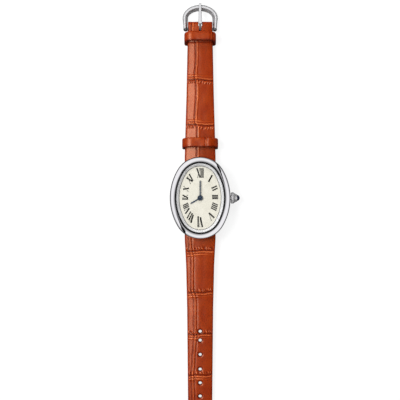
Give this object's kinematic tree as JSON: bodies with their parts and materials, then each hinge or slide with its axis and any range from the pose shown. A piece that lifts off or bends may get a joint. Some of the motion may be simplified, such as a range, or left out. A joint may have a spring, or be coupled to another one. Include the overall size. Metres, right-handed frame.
{
  "type": "oval wristwatch",
  "caption": "Oval dress watch with domed bezel and crystal, two hands, fluted crown with a stone, leather strap with loops and a pin buckle, and a geared quartz movement inside",
  "frame": {"origin": "middle of the case back's flat outer face, which lies on the table", "axes": "+Y from six to twelve o'clock and on to the buckle, +X to the crown, +Z out of the dial"},
  "size_m": [0.0272, 0.1872, 0.0074],
  "materials": {
    "polished_steel": "polished",
    "crystal": "polished",
    "cream_dial": "matte lacquer",
    "flange_silver": "satin",
    "blued_steel": "blued, polished",
    "blue_stone": "polished cabochon",
    "strap_leather": "semi-gloss grained",
    "lining_leather": "smooth, matte",
    "black_rubber": "matte",
    "movement_brass": "satin",
    "nickel_plate": "satin",
    "holder_plastic": "moulded",
    "green_board": "satin",
    "black_plastic": "moulded",
    "copper_winding": "enamelled wire"
  },
  "bodies": {
    "case": {"middle_case": "polished_steel", "bezel": "polished_steel", "crystal": "crystal", "crystal_gasket": "black_rubber", "flange_ring": "flange_silver", "dial": "cream_dial", "case_back": "polished_steel", "case_back_gasket": "black_rubber", "case_back_screws": "polished_steel", "crown_tube": "polished_steel", "movement_holder": "holder_plastic", "main_plate": "movement_brass", "train_bridge": "nickel_plate", "movement_screws": "nickel_plate", "circuit_board": "green_board", "quartz_can": "nickel_plate", "circuit_chip": "black_plastic", "coil": "copper_winding", "coil_core": "nickel_plate", "stator": "nickel_plate", "battery": "polished_steel", "battery_clamp": "nickel_plate", "spring_bar_12_tube": "polished_steel", "spring_bar_12_tips": "polished_steel", "spring_bar_6_tube": "polished_steel", "spring_bar_6_tips": "polished_steel"},
    "minute_hand_group": {"minute_hand": "blued_steel", "cannon_pinion": "nickel_plate", "centre_wheel": "movement_brass"},
    "hour_hand_group": {"hour_hand": "blued_steel", "hour_wheel": "movement_brass", "dial_washer": "movement_brass"},
    "minute_wheel_group": {"minute_wheel": "movement_brass"},
    "intermediate_group": {"intermediate_wheel": "movement_brass"},
    "rotor_group": {"rotor": "nickel_plate"},
    "setting_wheel_group": {"setting_wheel": "nickel_plate"},
    "clutch_group": {"clutch_wheel": "nickel_plate"},
    "crown_group": {"crown": "polished_steel", "crown_cabochon": "blue_stone", "crown_gasket": "black_rubber", "stem": "polished_steel"},
    "lever_group": {"setting_lever": "nickel_plate"},
    "short_strap": {"short_strap_upper": "strap_leather", "short_strap_lining": "lining_leather", "fixed_loop": "strap_leather"},
    "long_strap": {"long_strap_upper": "strap_leather", "long_strap_lining": "lining_leather"},
    "free_loop_group": {"free_loop": "strap_leather"},
    "buckle": {"buckle_frame": "polished_steel", "buckle_bar": "polished_steel"},
    "tang": {"buckle_tang": "polished_steel"}
  },
  "joints": [
    {"name": "minute_hand_turn", "type": "hinge", "parent": "case", "child": "minute_hand_group", "pos_m": [0, 0, 0.003], "axis": [0, 0, 1], "continuous": true},
    {"name": "hour_hand_turn", "type": "hinge", "parent": "case", "child": "hour_hand_group", "pos_m": [0, 0, 0.003], "axis": [0, 0, 1], "continuous": true},
    {"name": "minute_wheel_turn", "type": "hinge", "parent": "case", "child": "minute_wheel_group", "pos_m": [0.0012, -0.0016, 0.0038], "axis": [0, 0, 1], "continuous": true},
    {"name": "setting_wheel_turn", "type": "hinge", "parent": "case", "child": "setting_wheel_group", "pos_m": [0.00321, -0.00029, 0.0038], "axis": [0, 0, 1], "continuous": true},
    {"name": "intermediate_wheel_turn", "type": "hinge", "parent": "case", "child": "intermediate_group", "pos_m": [-0.00162, 0.00216, 0.002], "axis": [0, 0, 1], "continuous": true},
    {"name": "rotor_turn", "type": "hinge", "parent": "case", "child": "rotor_group", "pos_m": [-0.0037, 0.00317, 0.002], "axis": [0, 0, 1], "continuous": true},
    {"name": "crown_turn", "type": "hinge", "parent": "case", "child": "clutch_group", "pos_m": [0.005, 0, 0.003], "axis": [1, 0, 0], "continuous": true},
    {"name": "crown_pull", "type": "slide", "parent": "clutch_group", "child": "crown_group", "axis": [1, 0, 0], "range_m": [0, 0.001]},
    {"name": "setting_lever_swing", "type": "hinge", "parent": "case", "child": "lever_group", "pos_m": [0.0067, 0.0028, 0.0038], "axis": [0, 0, 1], "range_deg": [0, 24.57]},
    {"name": "short_strap_swing", "type": "hinge", "parent": "case", "child": "short_strap", "pos_m": [0, 0.01225, 0.00235], "axis": [1, 0, 0], "range_deg": [-80, 2]},
    {"name": "long_strap_swing", "type": "hinge", "parent": "case", "child": "long_strap", "pos_m": [0, -0.01225, 0.00235], "axis": [1, 0, 0], "range_deg": [-2, 80]},
    {"name": "free_loop_slide", "type": "slide", "parent": "short_strap", "child": "free_loop_group", "axis": [0, 1, 0], "range_m": [-0.0015, 0.036]},
    {"name": "buckle_swing", "type": "hinge", "parent": "short_strap", "child": "buckle", "pos_m": [0, 0.066, 0.00195], "axis": [1, 0, 0], "range_deg": [-80, 10]},
    {"name": "tang_swing", "type": "hinge", "parent": "buckle", "child": "tang", "pos_m": [0, 0.066, 0.00195], "axis": [1, 0, 0], "range_deg": [0, 60]}
  ],
  "couplings": [
    {"joint": "hour_hand_turn", "follows": "minute_hand_turn", "ratio": 0.083333},
    {"joint": "minute_wheel_turn", "follows": "minute_hand_turn", "ratio": -0.33333},
    {"joint": "setting_wheel_turn", "follows": "minute_hand_turn", "ratio": 0.55556},
    {"joint": "intermediate_wheel_turn", "follows": "minute_hand_turn", "ratio": -9},
    {"joint": "rotor_turn", "follows": "minute_hand_turn", "ratio": 90},
    {"joint": "setting_lever_swing", "follows": "crown_pull", "rad_per_m": 428.81}
  ]
}
